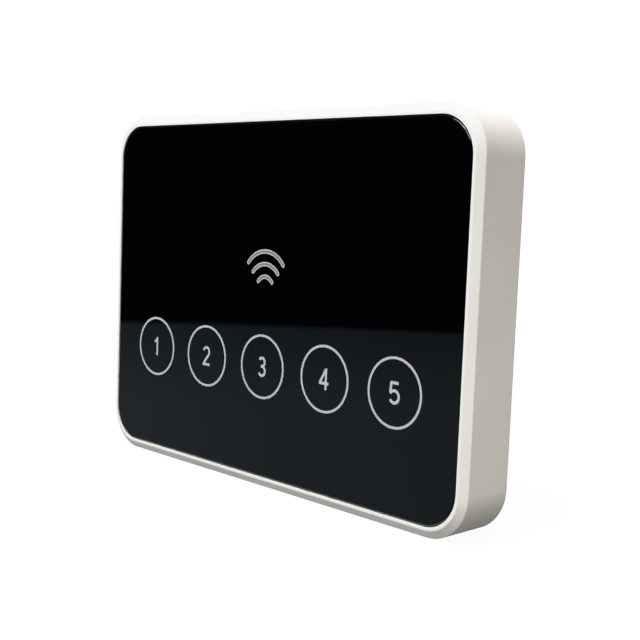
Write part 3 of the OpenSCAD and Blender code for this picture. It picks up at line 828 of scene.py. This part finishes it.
# ---------------------------------------------------------------- camera, light and floor

# The camera that was solved from the photo
CAMERA_PLACE = FACE_CENTRE + Vector((185.56, -162.24, 21.44)) * MM
CAMERA_AIM = FACE_CENTRE + Vector((18.19, -0.055, -2.295)) * MM
CAMERA_ROLL = math.radians(2.215)
CAMERA_LENS = 62.51
SENSOR_WIDTH = 36.0
NEAR_CLIP = 0.01
FAR_CLIP = 50.0

# Brightness that shows as pure white, and the camera's soft shoulder below it
PURE_WHITE = 1.5
SHOULDER = [(0.2, 0.2), (0.4, 0.4), (0.6, 0.6), (0.7, 0.69), (0.8, 0.765), (0.9, 0.825),
            (1.0, 0.87), (1.1, 0.905), (1.2, 0.932), (1.3, 0.957), (1.4, 0.98)]
ALL_CHANNELS = 3

# What the gloss mirrors: a dim room, pale places, and a grey table from its far line to its
# near end, as heights of the mirrored directions
ROOM_DIM = (0.0, 0.0, 0.0004, 1.0)
ROOM_PALE = (0.5, 0.5, 0.5, 1.0)
TABLE_GREY = (0.205, 0.25, 0.285, 1.0)
TABLE_LINE = (-0.1055, -0.1115)
TABLE_FRONT = (-0.1, -0.19)
TABLE_END = (-0.6, -0.3)
TABLE_AT_LINE = 0.6
CEILING_Z = (0.6, 0.8)
CEILING_X = (-0.3, 0.1)
RIGHT_SIDE_X = (0.86, 0.96)
BEHIND_Y = (0.2, 0.6)

# The soft light from all round, below and above, and the heights between which it changes
AMBIENT_LOW = (0.373, 0.369, 0.338, 1.0)
AMBIENT_HIGH = (0.234, 0.225, 0.192, 1.0)
AMBIENT_Z = (-0.1, 0.5)

# The floor: half its width, its glow near the unit, where it fades to white, and its colours
FLOOR_HALF = 4.0
FLOOR_GLOW = 1.25
FLOOR_FADE = (0.1, 0.5)
FLOOR_PAINT = (0.2, 0.2, 0.2, 1.0)
FLOOR_FELT = (0.07, 0.067, 0.061, 1.0)

# Soft lights: name, direction, distance, size, strength and colour
SOFT_LIGHTS = [
    ("high_front", (0.0, -0.45, 0.89), 1.5, 0.9, 0.832, (1.019, 1.0, 0.941)),
    ("high_right", (0.5, -0.3, 0.8), 1.5, 0.9, 0.39, (1.065, 1.0, 0.973)),
    ("front", (-0.1, -1.0, 0.08), 1.2, 0.5, 0.11, (0.99, 1.0, 1.041)),
    ("front_left", (-0.62, -0.72, 0.3), 2.5, 0.7, 0.528, (0.948, 1.0, 1.019)),
    ("low_right", (0.95, -0.1, -0.17), 0.12, 0.05, 0.048, (1.032, 1.0, 0.86)),
    ("behind", (-0.3, 0.86, 0.4), 1.0, 0.7, 0.65, (1.0, 1.0, 1.0)),
]


def turned_towards(direction, roll=0.0):
    """The rotation of a camera or light that looks along a direction."""
    return direction.to_track_quat("-Z", "Y") @ Quaternion((0, 0, 1), roll)


def soften_highlights():
    """Bright whites roll off softly, as on a photograph, and don't burn out."""
    view = bpy.context.scene.view_settings
    view.view_transform = "Standard"
    view.use_curve_mapping = True
    mapping = view.curve_mapping
    mapping.clip_max_x = PURE_WHITE
    tones = mapping.curves[ALL_CHANNELS]
    tones.points[-1].location = (PURE_WHITE, 1.0)
    for place, height in SHOULDER:
        tones.points.new(place, height)
    mapping.update()


def make_camera():
    lens = bpy.data.cameras.new("camera")
    lens.lens = CAMERA_LENS
    lens.sensor_width = SENSOR_WIDTH
    lens.clip_start = NEAR_CLIP
    lens.clip_end = FAR_CLIP
    camera = bpy.data.objects.new("camera", lens)
    camera.rotation_mode = "QUATERNION"
    camera.location = CAMERA_PLACE
    camera.rotation_quaternion = turned_towards(CAMERA_AIM - CAMERA_PLACE, CAMERA_ROLL)
    bpy.context.scene.collection.objects.link(camera)
    bpy.context.scene.camera = camera


def make_soft_light(name, direction, distance, size, strength, colour):
    """A square soft light. Its strength is the brightness that it gives a white face."""
    lamp = bpy.data.lights.new(name, "AREA")
    lamp.size = size
    lamp.energy = strength * math.pi ** 2 * distance ** 2
    lamp.color = colour
    light = bpy.data.objects.new(name, lamp)
    light.rotation_mode = "QUATERNION"
    towards = Vector(direction).normalized()
    light.location = Vector((0, 0, FACE_CENTRE.z)) + towards * distance
    light.rotation_quaternion = turned_towards(-towards)
    light.visible_camera = False
    bpy.context.scene.collection.objects.link(light)


def make_studio():
    """White to the camera, a dim room with a grey table in the gloss, soft light elsewhere."""
    world = bpy.data.worlds.new("studio")
    bpy.context.scene.world = world
    world.use_nodes = True
    tree = world.node_tree
    background = tree.nodes["Background"]
    ray = add_node(tree, "ShaderNodeLightPath").outputs
    direction = add_node(tree, "ShaderNodeTexCoord").outputs["Generated"]
    towards = add_node(tree, "ShaderNodeSeparateXYZ", None, {"Vector": direction}).outputs

    table_edge = ramp(tree, towards["Z"], *TABLE_LINE, 0.0, TABLE_AT_LINE)
    table_near = ramp(tree, towards["Z"], *TABLE_FRONT, 0.0, 1 - TABLE_AT_LINE)
    table_end = ramp(tree, towards["Z"], *TABLE_END, 0.0, 1.0)
    table = maths(tree, "MULTIPLY", maths(tree, "ADD", table_edge, table_near), table_end)
    dim_room = blend_colours(tree, table, ROOM_DIM, TABLE_GREY)
    ceiling = maths(tree, "MULTIPLY", ramp(tree, towards["Z"], *CEILING_Z, 0.0, 1.0),
                    ramp(tree, towards["X"], *CEILING_X, 0.0, 1.0))
    right_side = ramp(tree, towards["X"], *RIGHT_SIDE_X, 0.0, 1.0)
    behind = ramp(tree, towards["Y"], *BEHIND_Y, 0.0, 1.0)
    pale = maths(tree, "MAXIMUM", behind, maths(tree, "MAXIMUM", ceiling, right_side))
    in_gloss = blend_colours(tree, pale, dim_room, ROOM_PALE)

    height = ramp(tree, towards["Z"], *AMBIENT_Z, 0.0, 1.0)
    ambient = blend_colours(tree, height, AMBIENT_LOW, AMBIENT_HIGH)
    not_seen = blend_colours(tree, ray["Is Glossy Ray"], ambient, in_gloss)
    white = (PURE_WHITE, PURE_WHITE, PURE_WHITE, 1.0)
    seen = blend_colours(tree, ray["Is Camera Ray"], not_seen, white)
    tree.links.new(seen, background.inputs["Color"])


def make_floor():
    """A pale floor that keeps a faint shadow, fades to white and throws little light back."""
    finish = bpy.data.materials.new("pale_floor")
    finish.use_nodes = True
    tree = finish.node_tree
    tree.nodes.clear()
    place = add_node(tree, "ShaderNodeTexCoord").outputs["Object"]
    away = add_node(tree, "ShaderNodeVectorMath", {"operation": "LENGTH"}, {0: place})
    strength = ramp(tree, away.outputs["Value"], *FLOOR_FADE, FLOOR_GLOW, PURE_WHITE)
    glow = add_node(tree, "ShaderNodeEmission", None, {"Strength": strength})
    paint = add_node(tree, "ShaderNodeBsdfDiffuse", None, {"Color": FLOOR_PAINT})
    seen = add_node(tree, "ShaderNodeAddShader", None,
                    {0: glow.outputs[0], 1: paint.outputs[0]})
    felt = add_node(tree, "ShaderNodeBsdfDiffuse", None, {"Color": FLOOR_FELT})
    ray = add_node(tree, "ShaderNodeLightPath").outputs
    mixed = add_node(tree, "ShaderNodeMixShader", None,
                     {0: ray["Is Camera Ray"], 1: felt.outputs[0], 2: seen.outputs[0]})
    output = add_node(tree, "ShaderNodeOutputMaterial")
    tree.links.new(mixed.outputs[0], output.inputs["Surface"])
    mesh = bpy.data.meshes.new("floor")
    corners = [(x * FLOOR_HALF, y * FLOOR_HALF, 0.0) for x, y in
               ((-1, -1), (1, -1), (1, 1), (-1, 1))]
    mesh.from_pydata(corners, [], [(0, 1, 2, 3)])
    mesh.materials.append(finish)
    floor = bpy.data.objects.new("floor", mesh)
    floor.visible_glossy = False
    bpy.context.scene.collection.objects.link(floor)


soften_highlights()
make_camera()
make_studio()
make_floor()
for light_row in SOFT_LIGHTS:
    make_soft_light(*light_row)
dress_frame_nodes()
make_housing_shell()
make_glass_sheet()
make_prints()
make_rear_marks()
